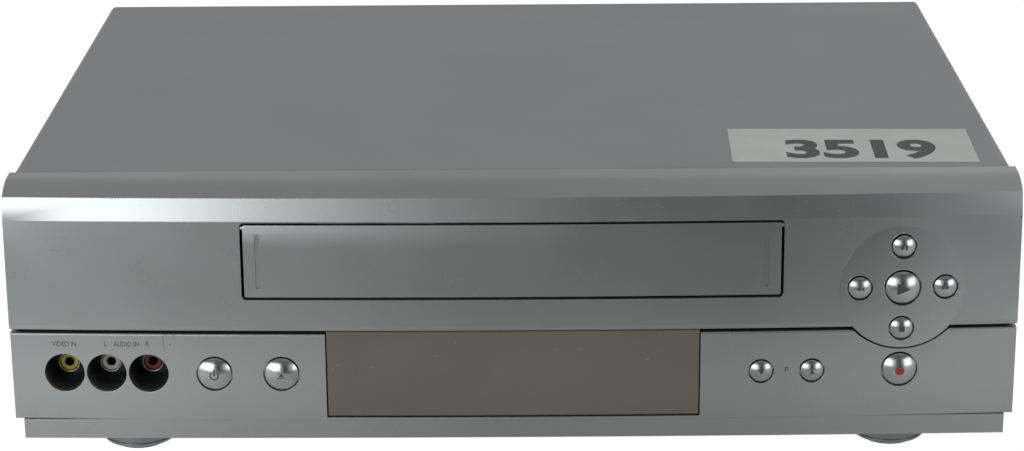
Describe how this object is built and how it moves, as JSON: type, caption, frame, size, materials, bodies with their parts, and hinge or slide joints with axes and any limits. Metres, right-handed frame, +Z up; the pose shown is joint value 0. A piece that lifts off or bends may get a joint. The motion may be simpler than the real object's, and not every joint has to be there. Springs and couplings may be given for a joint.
{
  "type": "video cassette recorder",
  "caption": "Front-loading video cassette recorder with a hinged cassette door, domed keys, front sockets, a smoked display window and its tape deck, carriage and boards inside.",
  "frame": {"origin": "middle of the bounding box's underside, where the feet stand", "axes": "+X to the viewer's right, +Y from the front to the back, +Z up"},
  "size_m": [0.38, 0.2904, 0.1058],
  "materials": {
    "cover_steel": "satin grey metallic paint",
    "silver_moulding": "silver painted, lacquered",
    "black_plastic": "fine moulded texture",
    "foot_plastic": "silver painted",
    "smoked_window": "polished, smoked",
    "display_glass": "smoked glass tube",
    "key_chrome": "satin chrome plating",
    "nickel": "nickel plated",
    "yellow_plastic": "moulded",
    "white_plastic": "moulded",
    "red_plastic": "moulded",
    "rubber": "plain",
    "label_paper": "matt paper",
    "zinc_steel": "zinc coated",
    "plated_steel": "bright zinc plated",
    "ground_steel": "ground",
    "tinplate": "tinplate",
    "circuit_board": "solder resist",
    "component_black": "moulded",
    "acetal": "natural acetal",
    "cast_aluminium": "die cast",
    "turned_aluminium": "turned and polished",
    "bearing_brass": "turned"
  },
  "bodies": {
    "case": {"top_cover": "cover_steel", "cover_screws": "plated_steel", "front_panel_upper": "silver_moulding", "front_panel_lower": "silver_moulding", "front_frame": "black_plastic", "base_plinth": "silver_moulding", "base_tray": "zinc_steel", "feet": "foot_plastic", "foot_pads": "rubber", "paper_label": "label_paper", "display_window": "smoked_window", "display_tube": "display_glass", "door_spring": "plated_steel", "front_boards": "circuit_board", "key_switches": "black_plastic", "jack_body": "black_plastic", "jack_shells": "nickel", "video_insert": "yellow_plastic", "audio_left_insert": "white_plastic", "audio_right_insert": "red_plastic", "rear_panel": "cover_steel", "scart_sockets": "black_plastic", "aerial_sockets": "nickel", "tuner_can": "tinplate", "line_out_jacks": "black_plastic", "mains_inlet": "black_plastic", "tray_boards": "circuit_board", "board_parts": "component_black", "deck_plate": "zinc_steel", "carriage_frame": "zinc_steel", "drum_base": "cast_aluminium", "capstan_housing": "bearing_brass", "drive_belt": "rubber", "loading_motor": "tinplate", "tape_heads": "tinplate"},
    "door": {"cassette_door": "silver_moulding"},
    "carriage": {"carriage_slider": "zinc_steel"},
    "holder": {"cassette_holder": "zinc_steel"},
    "lift_gear": {"carriage_gear": "acetal"},
    "drum": {"drum_head": "turned_aluminium"},
    "capstan": {"capstan": "ground_steel"},
    "reel_pulley": {"reel_pulley": "acetal"},
    "supply_reel": {"supply_reel_table": "acetal"},
    "takeup_reel": {"takeup_reel_table": "acetal"},
    "pinch_arm": {"pinch_arm": "plated_steel"},
    "pinch_roller": {"pinch_roller": "rubber"},
    "supply_guide": {"supply_guide_arm": "plated_steel"},
    "takeup_guide": {"takeup_guide_arm": "plated_steel"},
    "mode_gear": {"mode_gear": "acetal"},
    "loading_pinion": {"loading_pinion": "acetal"},
    "play_key": {"play_button": "key_chrome"},
    "pause_key": {"pause_button": "key_chrome"},
    "stop_key": {"stop_button": "key_chrome"},
    "rewind_key": {"rewind_button": "key_chrome"},
    "forward_key": {"forward_button": "key_chrome"},
    "record_key": {"record_button": "key_chrome"},
    "power_key": {"power_button": "key_chrome"},
    "eject_key": {"eject_button": "key_chrome"},
    "channel_down_key": {"channel_down_button": "key_chrome"},
    "channel_up_key": {"channel_up_button": "key_chrome"}
  },
  "joints": [
    {"name": "door_hinge", "type": "hinge", "parent": "case", "child": "door", "pos_m": [0, -0.14062, 0.0904], "axis": [1, 0, 0], "range_deg": [0, 92], "stiffness_Nm_per_rad": 0.004, "springref_deg": -14.32},
    {"name": "play_press", "type": "slide", "parent": "case", "child": "play_key", "axis": [0, 1, 0], "range_m": [0, 0.0008], "stiffness_N_per_m": 600},
    {"name": "pause_press", "type": "slide", "parent": "case", "child": "pause_key", "axis": [0, 1, 0], "range_m": [0, 0.0008], "stiffness_N_per_m": 600},
    {"name": "stop_press", "type": "slide", "parent": "case", "child": "stop_key", "axis": [0, 1, 0], "range_m": [0, 0.0008], "stiffness_N_per_m": 600},
    {"name": "rewind_press", "type": "slide", "parent": "case", "child": "rewind_key", "axis": [0, 1, 0], "range_m": [0, 0.0008], "stiffness_N_per_m": 600},
    {"name": "forward_press", "type": "slide", "parent": "case", "child": "forward_key", "axis": [0, 1, 0], "range_m": [0, 0.0008], "stiffness_N_per_m": 600},
    {"name": "record_press", "type": "slide", "parent": "case", "child": "record_key", "axis": [0, 1, 0], "range_m": [0, 0.0008], "stiffness_N_per_m": 600},
    {"name": "power_press", "type": "slide", "parent": "case", "child": "power_key", "axis": [0, 1, 0], "range_m": [0, 0.0008], "stiffness_N_per_m": 600},
    {"name": "eject_press", "type": "slide", "parent": "case", "child": "eject_key", "axis": [0, 1, 0], "range_m": [0, 0.0008], "stiffness_N_per_m": 600},
    {"name": "channel_down_press", "type": "slide", "parent": "case", "child": "channel_down_key", "axis": [0, 1, 0], "range_m": [0, 0.0008], "stiffness_N_per_m": 600},
    {"name": "channel_up_press", "type": "slide", "parent": "case", "child": "channel_up_key", "axis": [0, 1, 0], "range_m": [0, 0.0008], "stiffness_N_per_m": 600},
    {"name": "carriage_slide", "type": "slide", "parent": "case", "child": "carriage", "axis": [0, -1, 0], "range_m": [-0.045, 0]},
    {"name": "holder_drop", "type": "slide", "parent": "carriage", "child": "holder", "axis": [0, 0, 1], "range_m": [-0.022, 0]},
    {"name": "lift_gear_spin", "type": "hinge", "parent": "case", "child": "lift_gear", "pos_m": [0.0976, -0.03088, 0.041], "axis": [1, 0, 0], "range_deg": [-324, 0]},
    {"name": "drum_spin", "type": "hinge", "parent": "case", "child": "drum", "pos_m": [0, 0.07912, 0.0366], "axis": [0, 0.1028, 0.9947], "continuous": true},
    {"name": "capstan_spin", "type": "hinge", "parent": "case", "child": "capstan", "pos_m": [0.056, 0.04312, 0.0296], "axis": [0, 0, 1], "continuous": true},
    {"name": "reel_pulley_spin", "type": "hinge", "parent": "case", "child": "reel_pulley", "pos_m": [0, 0.00112, 0.0296], "axis": [0, 0, 1], "continuous": true},
    {"name": "supply_reel_spin", "type": "hinge", "parent": "case", "child": "supply_reel", "pos_m": [-0.046, -0.02088, 0.0296], "axis": [0, 0, 1], "continuous": true},
    {"name": "takeup_reel_spin", "type": "hinge", "parent": "case", "child": "takeup_reel", "pos_m": [0.046, -0.02088, 0.0296], "axis": [0, 0, 1], "continuous": true},
    {"name": "mode_gear_spin", "type": "hinge", "parent": "case", "child": "mode_gear", "pos_m": [-0.074, 0.09912, 0.0306], "axis": [0, 0, 1], "range_deg": [0, 170]},
    {"name": "loading_pinion_spin", "type": "hinge", "parent": "case", "child": "loading_pinion", "pos_m": [-0.04802, 0.11412, 0.0306], "axis": [0, 0, 1], "range_deg": [-681, 0]},
    {"name": "takeup_guide_swing", "type": "hinge", "parent": "case", "child": "takeup_guide", "pos_m": [0, 0.07912, 0.023], "axis": [0, 0, 1], "range_deg": [0, 83.1]},
    {"name": "supply_guide_swing", "type": "hinge", "parent": "case", "child": "supply_guide", "pos_m": [0, 0.07912, 0.0254], "axis": [0, 0, 1], "range_deg": [-83.1, 0]},
    {"name": "pinch_arm_swing", "type": "hinge", "parent": "case", "child": "pinch_arm", "pos_m": [0.086, 0.05712, 0.0356], "axis": [0, 0, 1], "range_deg": [0, 18.1]},
    {"name": "pinch_roller_spin", "type": "hinge", "parent": "pinch_arm", "child": "pinch_roller", "pos_m": [0.06079, 0.05402, 0.046], "axis": [0, 0, 1], "continuous": true}
  ],
  "couplings": [
    {"joint": "lift_gear_spin", "follows": "carriage_slide", "rad_per_m": 125},
    {"joint": "reel_pulley_spin", "follows": "capstan_spin", "ratio": 0.57143},
    {"joint": "loading_pinion_spin", "follows": "mode_gear_spin", "ratio": -4},
    {"joint": "takeup_guide_swing", "follows": "mode_gear_spin", "ratio": 0.48823},
    {"joint": "supply_guide_swing", "follows": "mode_gear_spin", "ratio": -0.48823},
    {"joint": "pinch_arm_swing", "follows": "mode_gear_spin", "ratio": 0.10588}
  ]
}
